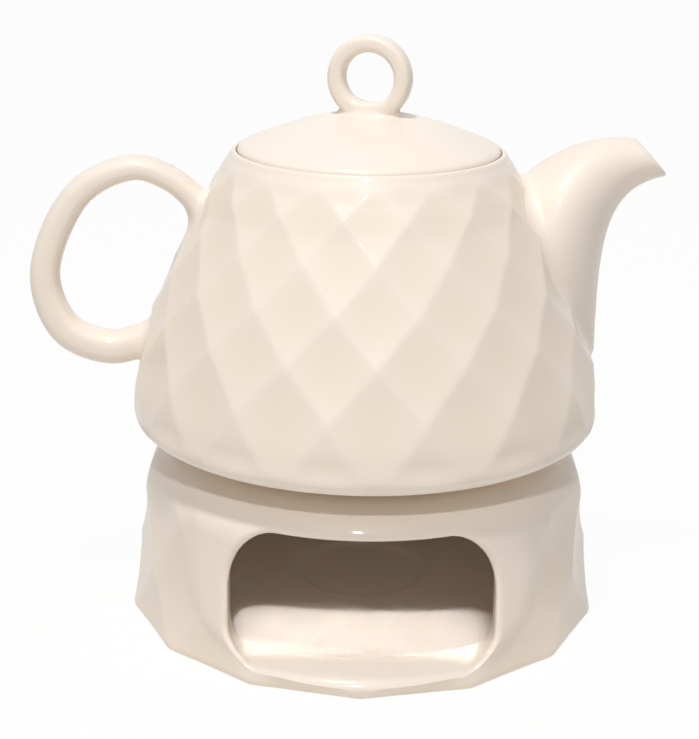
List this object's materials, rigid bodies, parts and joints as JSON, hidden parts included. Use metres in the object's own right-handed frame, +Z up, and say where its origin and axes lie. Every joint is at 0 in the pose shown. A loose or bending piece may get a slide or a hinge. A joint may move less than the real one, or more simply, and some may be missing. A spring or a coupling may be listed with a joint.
{
  "type": "teapot with warmer",
  "caption": "Faceted glazed porcelain teapot with loop handle, spout and ring-topped lid, standing on a round tea-light warmer with a wide front window.",
  "frame": {"origin": "middle of the warmer's flat base, on the surface that the set stands on", "axes": "+Z up, +X towards the spout, -X towards the handle, -Y out of the warmer's window"},
  "size_m": [0.2123, 0.164, 0.1964],
  "materials": {
    "warmer_glaze": "glossy clear glaze on cream-white porcelain",
    "pot_glaze": "glossy clear glaze on cream-white porcelain",
    "spout_glaze": "glossy clear glaze on cream-white porcelain",
    "handle_glaze": "glossy clear glaze on cream-white porcelain",
    "lid_glaze": "glossy clear glaze on cream-white porcelain",
    "ring_glaze": "glossy clear glaze on cream-white porcelain"
  },
  "bodies": {
    "warmer_stand": {"warmer": "warmer_glaze"},
    "pot": {"pot_base": "pot_glaze", "pot_body": "pot_glaze", "pot_shoulder": "pot_glaze", "spout": "spout_glaze", "handle": "handle_glaze"},
    "cover": {"lid": "lid_glaze", "lid_ring": "ring_glaze"}
  },
  "joints": [
    {"name": "pot_lift", "type": "slide", "parent": "warmer_stand", "child": "pot", "axis": [0, 0, 1], "range_m": [0, 0.08]},
    {"name": "lid_lift", "type": "slide", "parent": "pot", "child": "cover", "axis": [0, 0, 1], "range_m": [0, 0.06]}
  ]
}
